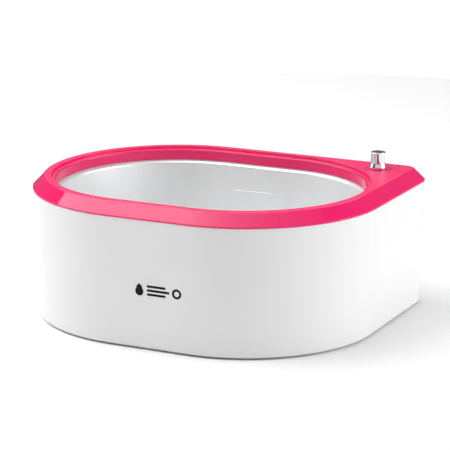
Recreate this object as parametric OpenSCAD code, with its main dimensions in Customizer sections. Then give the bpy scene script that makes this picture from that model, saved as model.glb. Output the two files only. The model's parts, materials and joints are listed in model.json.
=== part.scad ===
// Professional wax warmer: an oval aluminium tank hangs in a white moulded body
// under a flush coloured bezel, whose squared rear right corner carries one dial.
// X runs along the body, Y towards the rear, Z up from the table.
// The origin is the middle of the body's outline, on the table.

/* [Body] */
// Length of the body, left to right
body_len = 350; // [290:1:420]
// Width of the body, front to rear
body_wid = 277; // [230:1:335]
// Height of the parting line between body and bezel above the table
seam_z = 124.5; // [103:0.5:150]
// Half length of the flat stretch at the middle of the left end
left_flat = 2; // [1:0.5:6]
// Half length of the flat stretch that the front right corner leaves
right_flat = 5; // [2:0.5:12]
// Radius of the squared rear right corner
corner_r = 23; // [20:1:32]
// Thickness of the body wall
wall_t = 3; // [2.4:0.1:3.6]
// How far the wall leans in from the parting line to the bottom
draft_in = 3; // [1:0.5:4]
// Diameter of the rubber feet
foot_d = 18; // [14:1:20]
// Radius of the bottom edge
edge_r = 4; // [2:0.5:4.8]
// Gap between the body and the table, which the feet keep
foot_gap = 1.5; // [1:0.5:4]
// Thickness of the base plate
base_t = 3; // [2.5:0.1:4]
// Width of the inner flange that the base plate seats on
flange_w = 11; // [10:0.5:12]

/* [Bezel] */
// Height of the ridge and the deck above the parting line
ridge_rise = 12.6; // [11:0.1:15]
// Height of the upright lip at the parting line
lip_h = 1.6; // [1:0.1:2.4]
// Thickness of the bezel
bezel_t = 2.6; // [2.2:0.1:3.1]
// Distance from the lip to the edge of the opening
margin = 18.3; // [17.5:0.1:22]
// Half length of the flat stretches at the ends of the opening
open_flat = 2.2; // [1:0.1:6]
// Width of the ledge inside the opening
ledge_w = 4.6; // [3.8:0.1:6]
// Depth of the ledge below the ridge
ledge_drop = 2.8; // [2:0.1:3.4]
// Thickness of the seal between bezel and tank
seal_t = 0.8; // [0.6:0.1:1.2]

/* [Tank] */
// Height of the tank floor above the table
tank_floor_z = 30; // [28:0.5:36]
// Thickness of the tank sheet
tank_t = 1.2; // [1:0.1:1.5]
// Distance from the bezel's inner wall to the tank wall
tank_gap = 3; // [2.4:0.1:4]
// Radius of the tank's shoulder
shoulder_r = 3; // [2:0.1:3]
// Radius between tank wall and tank floor
floor_r = 12; // [8:0.5:15]
// Depth of the fill mark below the tank's rim
mark_drop = 26.6; // [20:0.1:40]
// Length of the fill mark
mark_len = 42; // [20:1:50]
// Thickness of the insulation round the tank
wrap_t = 6; // [4:0.5:6.3]

/* [Heater] */
// Length of the heater plate
plate_len = 230; // [190:1:240]
// Width of the heater plate
plate_wid = 150; // [130:1:160]
// Thickness of the heater plate
plate_t = 4; // [3:0.1:4.8]
// Diameter of the heater tube
tube_d = 6.5; // [5:0.1:6.8]
// Length of the heater loop
loop_len = 200; // [170:1:210]
// Width of the heater loop
loop_wid = 110; // [96:1:120]
// Thickness of the straps under the heater loop
strap_t = 1.5; // [1:0.1:1.8]
// Thickness of the heat shield
shield_t = 0.8; // [0.5:0.1:1]

/* [Dial] */
// Distance from the edge of the opening to the dial's axis
dial_out = 18.4; // [18:0.1:20]
// Angle of the dial round the opening's corner, from +X
dial_angle = 46.4; // [43:0.1:48]
// Diameter of the knob
knob_d = 14.2; // [13.8:0.1:17]
// Diameter of the knob's flared foot
knob_foot_d = 16.8; // [15:0.1:20]
// Height of the knob's top above the deck
knob_h = 17; // [15:0.5:22]
// Diameter of the dial's shaft
shaft_d = 6; // [5:0.1:7.2]
// Running clearance between shaft and bush, on the diameter
shaft_play = 0.2; // [0.1:0.05:0.4]
// Gap between the knob and the deck
knob_gap = 0.4; // [0.3:0.1:1]
// Radius of the printed ring round the knob
scale_r = 12.1; // [10:0.1:14]
// Angle of the knob's pointer from +X, seen from above
pointer_angle = -68; // [-180:1:180]
// Width of the knob's pointer
pointer_w = 2.2; // [1.4:0.1:3]
// Diameter of the indicator lens
lens_d = 3; // [2.5:0.1:4]

/* [Electrics] */
// Width of the control board
board_w = 72; // [60:1:76]
// Height of the control board
board_h = 52; // [43:1:63]
// Height of the board's lower edge above the table
board_z = 42; // [40:1:48]
// Thickness of the control board
board_t = 1.6; // [1.2:0.1:2]
// Height of the power inlet's middle above the table
inlet_z = 27; // [26:0.5:29]
// Diameter of the mains and heater wires
power_wire_d = 2.2; // [1.8:0.1:2.4]
// Diameter of the dial's wires
dial_wire_d = 1.4; // [1:0.1:1.6]

/* [Fasteners] */
// Thread diameter of the screws
screw_d = 3; // [2.5:0.1:3.6]
// Diameter of the screw heads
head_d = 5.6; // [5:0.1:6.4]
// Height of the screw heads
head_h = 1.6; // [1:0.1:2]
// Clearance of a screw in a plain hole, on the diameter
hole_play = 0.6; // [0.3:0.1:1]
// Diameter of the screw bosses
boss_d = 7; // [6.5:0.1:7.4]

/* [Hidden] */

$fn = 48;
arc_steps = 5;

// Corner radii run rear right, rear left, front left, front right
left_r = body_wid / 2 - left_flat;
front_r = body_wid / 2 - right_flat;
body_radii = [corner_r, left_r, left_r, front_r];
body_size = [body_len, body_wid];

// Body levels and insets, the insets measured inward from the lip
lip_overhang = 0.3;
base_z = foot_gap + base_t;
rim_w = 6;
slide_gap = 0.4;
rim_in = lip_overhang + draft_in + rim_w;
shell_in = lip_overhang + draft_in + wall_t;
boss_h = 11.5;
base_screw_in = shell_in + flange_w - boss_d / 2 - 0.8;
foot_in = 28;
foot_stem_d = 5;
foot_stop_d = 7;
foot_recess = base_t / 2;
sink = 0.2;
vent_pitch = 14;
vent_size = [5, 50];
over = 1;

// Print on the front wall
sign_x = 14.8;
sign_z = 58.5;
sign_reach = 12;
sign_t = 0.12;

// Bezel
deck_z = seam_z + ridge_rise;
deck_under = deck_z - bezel_t;
chamfer = ridge_rise - lip_h;
skirt_drop = 5;
skirt_t = 1.8;
skirt_gap = 0.3;
skirt_edge = 0.6;
open_size = body_size - 2 * [margin, margin];
open_r = open_size.y / 2 - open_flat;
open_radii = [open_r, open_r, open_r, open_r];
inner_wall_end = seam_z - 0.7;

// Tank, measured from the opening's outline
rim_z = inner_wall_end - seal_t;
tank_in = ledge_w + tank_gap;
tank_size = open_size - 2 * [tank_in, tank_in];
tank_r = open_r - tank_in;
tank_radii = [tank_r, tank_r, tank_r, tank_r];
tank_flange_out = 1.6;
seal_in = 0.2;
seal_w = 5.4;
mark_h = 1;
mark_t = 0.35;
mark_x = -30;
tank_under = tank_floor_z - tank_t;

// Bosses under the ridge, which the clamps and the body lugs use
boss_out = tank_flange_out + 0.4 + boss_d / 2;
clamp_t = 1.5;
clamp_w = 10;
lug_z = seam_z - 19;
lug_t = 5;
lug_d = boss_d + 2;

// Heater stack, from the tank floor down
plate_z = tank_under - plate_t;
strap_z = plate_z - tube_d - strap_t;
stud_d = 4;
stud_spots = [for (x = [-60, 60], y = [-36, 36]) [x, y]];
nut_h = 3.2;
nut_w = 7;
strap_w = 16;
shield_lip = 7;
shield_z = strap_z - nut_h - 1.8 - shield_t;
shield_size = [260, 176];
shield_r = 84;
shield_spots = [for (x = [-100, 100], y = [-52, 52]) [x, y]];
terminal_gap = 24;
terminal_d = [tube_d - 1, 2];
terminal_l = [3, 8];

// Sensor and cutout under the tank's middle
sensor_hole_d = 24;
sensor_head = [9, 3];
sensor_stem = [6, 7];
clip_t = 1;
clip_screw_x = 19;
cutout_x = -36;
cutout_y = 12;
cutout_d = 16;
cutout_h = 9;

// Dial
dial_x = open_size.x / 2 - open_r + (open_r + dial_out) * cos(dial_angle);
dial_y = open_size.y / 2 - open_r + (open_r + dial_out) * sin(dial_angle);
bush_d = shaft_d + shaft_play + 1.6;
dial_nut_w = bush_d + 2.4;
washer_t = 0.5;
pot_nut_h = 1.8;
pot_d = 16;
pot_h = 9;
pot_wall = 0.8;
bush_flange_t = 1.2;
pot_top = deck_under - bush_flange_t;
pot_bottom = deck_under - pot_h;
wafer_z = pot_bottom + pot_wall;
wafer_t = 1;
wiper_z = wafer_z + wafer_t + 1.2;
wiper_t = 1;
wafer_w = 11;
wafer_tail = 5;
hollow_d = dial_nut_w / cos(30) + 0.7;
hollow_h = washer_t + pot_nut_h + 1.6;
shaft_top = deck_z + knob_h - 3;
grub_z = deck_z + 9;
knob_edge = 0.8;
flare_z = 6;
foot_rim_z = 2.4;
pointer_z = 5.6;
pointer_deep = 0.6;
print_t = 0.1;
line_w = 0.7;
scale_end_gap = 2;
scale_end_l = 1.8;
lens_x = body_len / 2 - 29.3;
lens_y = body_wid / 2 - 16.4;
lens_end = deck_z - 5;

// Power inlet, on the leaning rear wall
inlet_w = 50;
inlet_h = 22.5;
inlet_flange_t = 1.9;
inlet_pocket = 1;
inlet_body = [27, 19.8];
inlet_depth = 20;
inlet_play = 0.2;
inlet_back = 3;
inlet_screw_x = 20;
socket_size = [24, 16];
pin_size = [4, 22, 2];
pin_tail = 6;
tag_pitch = 3.5;
inlet_x = body_len / 2 - corner_r - 45;
draft_angle = atan(draft_in / (seam_z - foot_gap));

function corner_centre(size, radii, i) =
    [(i == 0 || i == 3 ? 1 : -1) * (size.x / 2 - radii[i]), (i < 2 ? 1 : -1) * (size.y / 2 - radii[i])];
function heading(a) = [cos(a), sin(a)];
function shrink(radii, inset) = [for (r = radii) r - inset];
// A spot beside an outline: [corner, angle, shift along the side], moved in by inset
function spot(size, radii, s, inset) =
    corner_centre(size, radii, s[0]) + (radii[s[0]] - inset) * heading(s[1]) + s[2] * [sin(s[1]), -cos(s[1])];
function body_spot(s, inset) = spot(body_size, body_radii, s, inset);
function open_spot(s, out) = spot(open_size, open_radii, s, -out);
function arc(c, r, a0, a1) = [for (k = [0:arc_steps]) c + r * heading(a0 + (a1 - a0) * k / arc_steps)];
function lean(z) = lip_overhang + draft_in * (seam_z - z) / (seam_z - foot_gap);

base_spots = [[0, 45, 0], [0, 0, 80], [1, 90, 103], [1, 90, 40], [1, 120, 0], [1, 165, 0],
    [2, 195, 0], [2, 240, 0], [3, 275, 0], [3, 315, 0], [3, 350, 0]];
lug_spots = [[0, 45, 0], [0, 0, 62], [1, 90, 88], [1, 110, 0], [1, 160, 0],
    [2, 200, 0], [2, 250, 0], [3, 290, 0], [3, 340, 0]];
clamp_spots = [[0, 28, 0], [0, 65, 0], [1, 90, 38], [1, 135, 0], [2, 225, 0], [2, 270, -38], [3, 315, 0]];
foot_spots = [[0, 45, 0], [1, 135, 0], [2, 225, 0], [3, 315, 0]];
lug_in = margin - boss_out;

// Sweeps a profile round an outline: profile +x points outward, +y up
module around(size, radii, skip = -1) {
    for (i = [0:3]) {
        c = corner_centre(size, radii, i);
        n = (i + 1) % 4;
        a = 90 * (i + 1);
        from = corner_centre(size, radii, n) + radii[n] * heading(a);
        to = c + radii[i] * heading(a);
        translate([c.x, c.y, 0]) rotate([0, 0, 90 * i]) rotate_extrude(angle = 90)
            translate([radii[i], 0]) children();
        if (i != skip)
            translate([from.x, from.y, 0]) rotate([0, 0, a]) rotate([90, 0, 0])
                linear_extrude(norm(to - from)) children();
    }
}

// Solid slab inside an outline: a cross-shaped middle and four quarter discs
module slab(size, radii, t) {
    middle = [for (i = [0:3]) let (c = corner_centre(size, radii, i), r = radii[i])
        for (p = [c + r * heading(90 * i), c, c + r * heading(90 * (i + 1))]) p];
    linear_extrude(t) polygon(middle);
    for (i = [0:3]) {
        c = corner_centre(size, radii, i);
        translate([c.x, c.y, 0]) rotate([0, 0, 90 * i]) rotate_extrude(angle = 90) square([radii[i], t]);
    }
}

module body_slab(inset, t) {
    slab(body_size - 2 * [inset, inset], shrink(body_radii, inset), t);
}

// Stands children on a spot, with local +x pointing outward
module at_body(s, inset) {
    p = body_spot(s, inset);
    translate([p.x, p.y, 0]) rotate([0, 0, s[1]]) children();
}

module at_open(s, out) {
    p = open_spot(s, out);
    translate([p.x, p.y, 0]) rotate([0, 0, s[1]]) children();
}

// Pan head screw: the head's seat is at z = 0 and the shank points up
module screw(shank) {
    translate([0, 0, -head_h]) cylinder(d = head_d, h = head_h);
    cylinder(d = screw_d, h = shank);
}

module hex(w, h) {
    cylinder(d = w / cos(30), h = h, $fn = 6);
}

// One direction across the wire at each ring, carried along without twist
function carry(along, i, across) = i == len(along) ? [] :
    let (flat = across - (across * along[i]) * along[i], next = flat / norm(flat))
    concat([next], carry(along, i + 1, next));

// Round wire along a route, as one closed skin
module wire(route, d) {
    sides = 8;
    last = len(route) - 1;
    along = [for (i = [0:last]) let (t = route[min(i + 1, last)] - route[max(i - 1, 0)]) t / norm(t)];
    across = carry(along, 0, cross(along[0], [0.36, 0.48, 0.8]));
    rings = [for (i = [0:last]) let (u = cross(across[i], along[i])) for (k = [0:sides - 1])
        route[i] + d / 2 * (cos(360 * k / sides) * across[i] + sin(360 * k / sides) * u)];
    skin = [for (i = [0:last - 1], k = [0:sides - 1])
        let (a = i * sides + k, b = i * sides + (k + 1) % sides) [b, a, a + sides, b + sides]];
    ends = [[for (k = [0:sides - 1]) k], [for (k = [sides - 1:-1:0]) last * sides + k]];
    polyhedron(rings, concat(skin, ends), convexity = 6);
}

// Body

module shell_profile() {
    bend_x = -lean(foot_gap + edge_r) - edge_r;
    polygon(concat(
        [[-rim_in, base_z], [-rim_in, foot_gap]],
        arc([bend_x, foot_gap + edge_r], edge_r, -90, 0),
        [[-lip_overhang, seam_z], [-lip_overhang - wall_t, seam_z], [-shell_in, base_z + wall_t],
            [-shell_in - flange_w, base_z + wall_t], [-shell_in - flange_w, base_z]]));
}

// Floor of the inlet's pocket, with local +y pointing out of the leaning wall
module on_rear_wall() {
    wall_y = body_wid / 2 - lean(inlet_z);
    translate([inlet_x, wall_y - inlet_pocket, inlet_z]) rotate([-draft_angle, 0, 0]) children();
}

module outer_shell() {
    arm = lug_in - lip_overhang - wall_t / 2;
    hole = [inlet_body.x + 2 * inlet_play, 2 * wall_t + 10, inlet_body.y + 2 * inlet_play];
    color("white") difference() {
        union() {
            around(body_size, body_radii) shell_profile();
            for (s = base_spots) at_body(s, base_screw_in)
                translate([0, 0, base_z]) cylinder(d = boss_d, h = boss_h);
            for (s = lug_spots) at_body(s, lug_in) {
                translate([0, 0, lug_z]) cylinder(d = lug_d, h = lug_t);
                translate([0, -lug_d / 2, lug_z]) cube([arm, lug_d, lug_t]);
            }
        }
        for (s = base_spots) at_body(s, base_screw_in)
            translate([0, 0, base_z - over]) cylinder(d = screw_d, h = boss_h - over);
        for (s = lug_spots) at_body(s, lug_in)
            translate([0, 0, lug_z - over]) cylinder(d = screw_d + hole_play, h = lug_t + 2 * over);
        on_rear_wall() {
            translate([-inlet_w / 2 - slide_gap, 0, -inlet_h / 2 - slide_gap])
                cube([inlet_w + 2 * slide_gap, 5, inlet_h + 2 * slide_gap]);
            translate([-hole.x / 2, -wall_t - 5, -hole.z / 2]) cube(hole);
            for (x = [-1, 1] * inlet_screw_x) translate([x, 5, 0]) rotate([90, 0, 0])
                cylinder(d = screw_d, h = wall_t + 10);
        }
    }
}

module base_plate() {
    color("gainsboro") difference() {
        union() {
            translate([0, 0, foot_gap]) body_slab(rim_in + slide_gap, base_t);
            for (p = shield_spots) translate([p.x, p.y, base_z]) cylinder(d = boss_d, h = shield_z - base_z);
        }
        for (s = base_spots) at_body(s, base_screw_in) translate([0, 0, foot_gap - over]) {
            cylinder(d = screw_d + hole_play, h = base_t + 2 * over);
            cylinder(d = head_d + hole_play, h = over + head_h + sink);
        }
        for (s = foot_spots) at_body(s, foot_in) translate([0, 0, foot_gap - over]) {
            cylinder(d = foot_stem_d, h = base_t + 2 * over);
            cylinder(d = foot_d + slide_gap, h = over + foot_recess);
        }
        for (p = shield_spots) translate([p.x, p.y, foot_gap + base_t / 2]) cylinder(d = screw_d, h = shield_z);
        for (k = [-5:5]) translate([k * vent_pitch - vent_size.x / 2, -vent_size.y / 2, foot_gap - over])
            cube([vent_size.x, vent_size.y, base_t + 2 * over]);
        at_board() for (y = foot_screws_y) translate([foot_screws_x, y, foot_gap + 1])
            cylinder(d = screw_d, h = 10);
    }
}

module rubber_feet() {
    color("dimgray") for (s = foot_spots) at_body(s, foot_in) {
        cylinder(d = foot_d, h = foot_gap + foot_recess);
        cylinder(d = foot_stem_d, h = base_z + 2);
        translate([0, 0, base_z]) cylinder(d = foot_stop_d, h = 2);
    }
}

module base_screws() {
    color("silver") for (s = base_spots) at_body(s, base_screw_in)
        translate([0, 0, foot_gap + head_h + sink]) screw(base_t + 6);
}

// Bezel

module bezel_profile() {
    slope = bezel_t * sqrt(2);
    skirt_out = lip_overhang + wall_t + skirt_gap;
    skirt_inner = skirt_out + skirt_t;
    under_x = chamfer + slope - bezel_t;
    polygon([[-skirt_edge, seam_z], [0, seam_z + skirt_edge], [0, seam_z + lip_h], [-chamfer, deck_z],
        [-chamfer - 3, deck_z], [-chamfer - 3, deck_under], [-under_x, deck_under],
        [-skirt_inner, seam_z + lip_h + skirt_inner - slope], [-skirt_inner, seam_z - skirt_drop],
        [-skirt_out, seam_z - skirt_drop], [-skirt_out, seam_z]]);
}

module opening_profile() {
    ledge_z = deck_z - ledge_drop;
    wall_x = -ledge_w + bezel_t;
    step_top = deck_z - bezel_t / 2;
    polygon([[-ledge_w, inner_wall_end], [-ledge_w, ledge_z], [0, ledge_z], [0, step_top], [bezel_t, step_top],
        [bezel_t, ledge_z - bezel_t], [wall_x, ledge_z - bezel_t], [wall_x, inner_wall_end]]);
}

module top_bezel() {
    boss_top = deck_under + bezel_t / 5;
    boss_end = rim_z - tank_t;
    lug_top = lug_z + lug_t;
    color("deeppink") difference() {
        union() {
            around(body_size, body_radii) bezel_profile();
            translate([0, 0, deck_under]) difference() {
                body_slab(chamfer + over, bezel_t);
                translate([0, 0, -over]) slab(open_size, open_radii, bezel_t + 2 * over);
            }
            around(open_size, open_radii) opening_profile();
            for (s = clamp_spots) at_open(s, boss_out)
                translate([0, 0, boss_end]) cylinder(d = boss_d, h = boss_top - boss_end);
            for (s = lug_spots) at_body(s, lug_in)
                translate([0, 0, lug_top]) cylinder(d = boss_d, h = boss_top - lug_top);
        }
        for (s = clamp_spots) at_open(s, boss_out)
            translate([0, 0, boss_end - over]) cylinder(d = screw_d, h = 9);
        for (s = lug_spots) at_body(s, lug_in) translate([0, 0, lug_top - over]) cylinder(d = screw_d, h = 13);
        translate([dial_x, dial_y, deck_under - over]) cylinder(d = bush_d, h = bezel_t + 2 * over);
        translate([lens_x, lens_y, deck_under - over]) cylinder(d = lens_d, h = bezel_t + 2 * over);
    }
}

module bezel_screws() {
    color("silver") for (s = lug_spots) at_body(s, lug_in) translate([0, 0, lug_z]) screw(lug_t + 10);
}

// Tank

module tank_profile() {
    top_bend = [shoulder_r, rim_z - shoulder_r];
    low_bend = [-floor_r, tank_floor_z + floor_r];
    tip = tank_in + tank_flange_out;
    polygon(concat(
        [[tip, rim_z]], arc(top_bend, shoulder_r, 90, 180), arc(low_bend, floor_r, 0, -90),
        arc(low_bend, floor_r + tank_t, -90, 0), arc(top_bend, shoulder_r - tank_t, 180, 90),
        [[tip, rim_z - tank_t]]));
}

module wax_tank() {
    floor_size = tank_size - 2 * [floor_r, floor_r];
    mark_z = rim_z - mark_drop;
    color("lightgray") {
        around(tank_size, tank_radii) tank_profile();
        translate([0, 0, tank_under]) slab(floor_size, shrink(tank_radii, floor_r), tank_t);
        intersection() {
            around(tank_size, tank_radii)
                translate([-mark_t, mark_z - mark_h / 2]) square([2 * mark_t, mark_h]);
            translate([mark_x, 0, mark_z - mark_h]) cube([mark_len, body_wid, 2 * mark_h]);
        }
    }
}

module tank_seal() {
    color("whitesmoke") around(open_size, open_radii)
        translate([seal_in - ledge_w, rim_z]) square([seal_w, seal_t]);
}

module tank_clamps() {
    under = rim_z - tank_t;
    color("silver") for (s = clamp_spots) at_open(s, boss_out) difference() {
        translate([-boss_out - 1, -clamp_w / 2, under - clamp_t])
            cube([boss_out + 1 + boss_d / 2, clamp_w, clamp_t]);
        translate([0, 0, under - clamp_t - over]) cylinder(d = screw_d + hole_play, h = clamp_t + 2 * over);
    }
}

module clamp_screws() {
    color("silver") for (s = clamp_spots) at_open(s, boss_out)
        translate([0, 0, rim_z - tank_t - clamp_t]) screw(clamp_t + 6);
}

module insulation_wrap() {
    low = tank_floor_z + floor_r;
    high = lug_z - 6;
    color("khaki") around(tank_size, tank_radii) translate([tank_t + 0.3, low]) square([wrap_t, high - low]);
}

// Heater

module heater_plate() {
    r = plate_wid / 2 - 2;
    color("gray") difference() {
        translate([0, 0, plate_z]) slab([plate_len, plate_wid], [r, r, r, r], plate_t);
        for (p = stud_spots) translate([p.x, p.y, plate_z - over])
            cylinder(d = stud_d + hole_play, h = plate_t + 2 * over);
        translate([0, 0, plate_z - over]) cylinder(d = sensor_hole_d, h = plate_t + 2 * over);
        for (y = [-1, 1] * cutout_y) translate([cutout_x, y, plate_z - over])
            cylinder(d = screw_d, h = plate_t);
        translate([clip_screw_x, 0, plate_z - over]) cylinder(d = screw_d, h = plate_t);
    }
}

module heater_tube() {
    r = loop_wid / 2 - terminal_gap / 2;
    color("slategray") around([loop_len, loop_wid], [r, r, r, r], 3)
        translate([0, plate_z - tube_d / 2]) circle(d = tube_d);
}

module heater_terminals() {
    color("gold") for (side = [-1, 1]) translate([loop_len / 2, side * terminal_gap / 2, plate_z - tube_d / 2])
        rotate([side * 90, 0, 0]) {
            for (k = [0, 1]) cylinder(d = terminal_d[k], h = terminal_l[k]);
        }
}

module heater_straps() {
    strap_l = loop_wid + strap_w;
    color("silver") for (side = [0, 1]) difference() {
        translate([stud_spots[2 * side].x - strap_w / 2, -strap_l / 2, strap_z])
            cube([strap_w, strap_l, strap_t]);
        for (k = [0, 1]) translate([stud_spots[2 * side + k].x, stud_spots[2 * side + k].y, strap_z - over])
            cylinder(d = stud_d + hole_play, h = strap_t + 2 * over);
    }
}

module heater_studs() {
    below = nut_h + 0.8;
    color("gray") for (p = stud_spots) translate([p.x, p.y, strap_z - below])
        cylinder(d = stud_d, h = tank_under - strap_z + below);
}

module heater_nuts() {
    color("silver") for (p = stud_spots) translate([p.x, p.y, strap_z - nut_h]) difference() {
        hex(nut_w, nut_h);
        translate([0, 0, -over]) cylinder(d = stud_d, h = nut_h + 2 * over);
    }
}

module heat_shield() {
    inner = shield_size - 2 * [shield_t, shield_t];
    radii = [shield_r, shield_r, shield_r, shield_r];
    color("lightsteelblue") difference() {
        translate([0, 0, shield_z]) slab(shield_size, radii, shield_lip);
        translate([0, 0, shield_z + shield_t]) slab(inner, shrink(radii, shield_t), shield_lip);
        for (p = shield_spots) translate([p.x, p.y, shield_z - over])
            cylinder(d = screw_d + hole_play, h = shield_t + 2 * over);
    }
}

module shield_screws() {
    color("silver") for (p = shield_spots) translate([p.x, p.y, shield_z + shield_t]) mirror([0, 0, 1])
        screw(shield_z + shield_t - foot_gap - 2);
}

module temperature_sensor() {
    color("orange") translate([0, 0, tank_under]) mirror([0, 0, 1]) {
        cylinder(d = sensor_head[0], h = sensor_head[1]);
        cylinder(d = sensor_stem[0], h = sensor_stem[1]);
    }
}

module sensor_clip() {
    clip_z = plate_z - clip_t;
    clip_w = sensor_stem[0] + 2;
    color("silver") difference() {
        union() {
            translate([-clip_w + 2, -clip_w / 2, clip_z]) cube([30, clip_w, clip_t]);
            translate([clip_screw_x, 0, clip_z - 2]) cylinder(d = head_d, h = 2);
        }
        translate([0, 0, clip_z - over]) cylinder(d = sensor_stem[0] + 0.2, h = clip_t + 2 * over);
    }
}

module thermal_cutout() {
    color("tan") translate([cutout_x, 0, plate_z]) mirror([0, 0, 1]) difference() {
        union() {
            cylinder(d = cutout_d, h = cutout_h);
            translate([-4, -cutout_d, 0]) cube([8, 2 * cutout_d, 1]);
            translate([-0.75 * cutout_d, -3, 5]) cube([1.5 * cutout_d, 6, 0.8]);
        }
        for (y = [-1, 1] * cutout_y) translate([0, y, -over])
            cylinder(d = screw_d + hole_play, h = 1 + 2 * over);
    }
}

module cutout_screws() {
    color("silver") for (y = [-1, 1] * cutout_y) translate([cutout_x, y, plate_z - 1]) screw(plate_t - 0.5);
}

// Electrics in the squared corner

// Local frame of the control board: x points at the corner, y along the board
module at_board() {
    p = corner_centre(open_size, open_radii, 0) + (open_r + board_out) * heading(45);
    translate([p.x, p.y, 0]) rotate([0, 0, 45]) children();
}

board_out = 15;
board_spots = [for (y = [-1, 1] * (board_w / 2 - 4), z = [board_z + 4, board_z + board_h - 4]) [y, z]];
spacer_l = 6;
bracket_t = 1.5;
bracket_x = -spacer_l - bracket_t;
tongue_w = 24;
tongue_y = -14;
tongue_l = 14;
foot_screws_x = -16;
foot_screws_y = [-9, 5];
window_edge = [18, 12];
block_spot = [5, 15, 2];
block_size = [10, 30, 10];
pole_pitch = 6;
fuse_d = 5;
fuse_spot = [4, 16, 21];
fuse_l = 14;
clip_w = 3;

// Middle of the terminal block's wire holes, seen from above
block_out = open_r + board_out + board_t + block_spot.x;
block_xy = corner_centre(open_size, open_radii, 0) + block_out * heading(45);

module board_bracket() {
    color("silver") at_board() difference() {
        union() {
            translate([bracket_x, -board_w / 2, board_z]) cube([bracket_t, board_w, board_h]);
            translate([bracket_x, tongue_y, base_z]) cube([bracket_t, tongue_w, board_z - base_z + 1]);
            translate([-spacer_l - tongue_l, tongue_y, base_z]) cube([tongue_l, tongue_w, bracket_t]);
        }
        for (p = board_spots) translate([bracket_x - over, p.x, p.y]) rotate([0, 90, 0])
            cylinder(d = screw_d, h = bracket_t + 2 * over);
        for (y = foot_screws_y) translate([foot_screws_x, y, base_z - over])
            cylinder(d = screw_d + hole_play, h = bracket_t + 2 * over);
        translate([bracket_x - over, window_edge.x - board_w / 2, board_z + window_edge.y])
            cube([bracket_t + 2 * over, board_w - 2 * window_edge.x, board_h - 2 * window_edge.y]);
    }
}

module bracket_screws() {
    color("dimgray") at_board() for (y = foot_screws_y) translate([foot_screws_x, y, base_z + bracket_t])
        mirror([0, 0, 1]) screw(bracket_t + base_t - 1);
}

module control_board() {
    color("darkgreen") at_board() difference() {
        translate([0, -board_w / 2, board_z]) cube([board_t, board_w, board_h]);
        for (p = board_spots) translate([-1, p.x, p.y]) rotate([0, 90, 0])
            cylinder(d = screw_d + hole_play, h = board_t + 2);
    }
}

module board_spacers() {
    color("ivory") at_board() for (p = board_spots) translate([-spacer_l, p.x, p.y]) rotate([0, 90, 0])
        difference() {
            cylinder(d = boss_d - 1, h = spacer_l);
            translate([0, 0, -1]) cylinder(d = screw_d + hole_play, h = spacer_l + 2);
        }
}

module board_screws() {
    color("silver") at_board() for (p = board_spots) translate([board_t, p.x, p.y]) rotate([0, -90, 0])
        screw(board_t + spacer_l + bracket_t);
}

module power_relay() {
    color("royalblue") at_board() translate([board_t, -24, board_z + 26]) cube([15.5, 19, 15.5]);
}

module terminal_block() {
    color("seagreen") at_board() difference() {
        translate([board_t, -block_spot.y, board_z + block_spot.z]) cube(block_size);
        for (k = [-2:2]) translate([board_t + block_spot.x, k * pole_pitch, board_z + 1])
            cylinder(d = power_wire_d + 0.4, h = 6);
        for (k = [-2:2]) translate([board_t + block_spot.x, k * pole_pitch, board_z + 7]) rotate([0, 90, 0])
            cylinder(d = 3, h = 8);
    }
}

module supply_capacitor() {
    color("navy") at_board() translate([board_t, 8, board_z + 38]) rotate([0, 90, 0]) cylinder(d = 10, h = 16);
}

module controller_chip() {
    color("black") at_board() translate([board_t, -2, board_z + 20]) cube([1.8, 10, 8]);
}

module board_fuse() {
    color("lightyellow") at_board() translate([board_t, 0, board_z] + fuse_spot) rotate([-90, 0, 0])
        cylinder(d = fuse_d, h = fuse_l);
}

module fuse_clips() {
    clip_h = fuse_d + 2;
    clip_ys = [fuse_spot.y - 1, fuse_spot.y + fuse_l + 1 - clip_w];
    color("silver") at_board() for (y = clip_ys) difference() {
        translate([board_t, y, board_z + fuse_spot.z - clip_h / 2])
            cube([fuse_spot.x + fuse_d / 2, clip_w, clip_h]);
        translate([board_t, 0, board_z] + fuse_spot) rotate([-90, 0, 0]) cylinder(d = fuse_d, h = fuse_l);
    }
}

// Power inlet: flange outside the wall, body inside, three pins in a socket
pin_spots = [[-7, -2], [0, 2], [7, -2]];

module power_inlet() {
    color("black") on_rear_wall() difference() {
        union() {
            translate([-inlet_w / 2, 0, -inlet_h / 2]) cube([inlet_w, inlet_flange_t, inlet_h]);
            translate([-inlet_body.x / 2, -inlet_depth, -inlet_body.y / 2])
                cube([inlet_body.x, inlet_depth, inlet_body.y]);
        }
        translate([-socket_size.x / 2, inlet_back - inlet_depth, -socket_size.y / 2])
            cube([socket_size.x, inlet_depth + 5, socket_size.y]);
        for (p = pin_spots) translate([p.x - pin_size.x / 2, -inlet_depth - over, p.y - pin_size.z / 2])
            cube([pin_size.x, inlet_back + 2 * over, pin_size.z]);
        for (x = [-1, 1] * inlet_screw_x) translate([x, 5, 0]) rotate([90, 0, 0])
            cylinder(d = screw_d + hole_play, h = 10);
    }
}

module inlet_pins() {
    color("silver") on_rear_wall() for (p = pin_spots)
        translate([p.x - pin_size.x / 2, -inlet_depth - pin_tail, p.y - pin_size.z / 2]) cube(pin_size);
}

module inlet_screws() {
    color("silver") on_rear_wall() for (x = [-1, 1] * inlet_screw_x) translate([x, inlet_flange_t, 0])
        rotate([90, 0, 0]) screw(inlet_flange_t + wall_t - inlet_pocket);
}

// Wires, each a route of hand-chosen points

// The mains wires pass beside the bracket's tongue
module mains_wires() {
    lower = board_z + 3;
    pin_y = body_wid / 2 - lean(inlet_z) - inlet_depth - 8;
    along = heading(135);
    color("brown") for (k = [0, 2]) {
        end = block_xy + (2 - k / 2) * pole_pitch * along;
        start = [inlet_x + pin_spots[k].x, pin_y, inlet_z + pin_spots[k].y];
        wire([start, start + [0, -3, 1], [end.x, end.y, lower - 12], [end.x, end.y, lower]], power_wire_d);
    }
}

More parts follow.
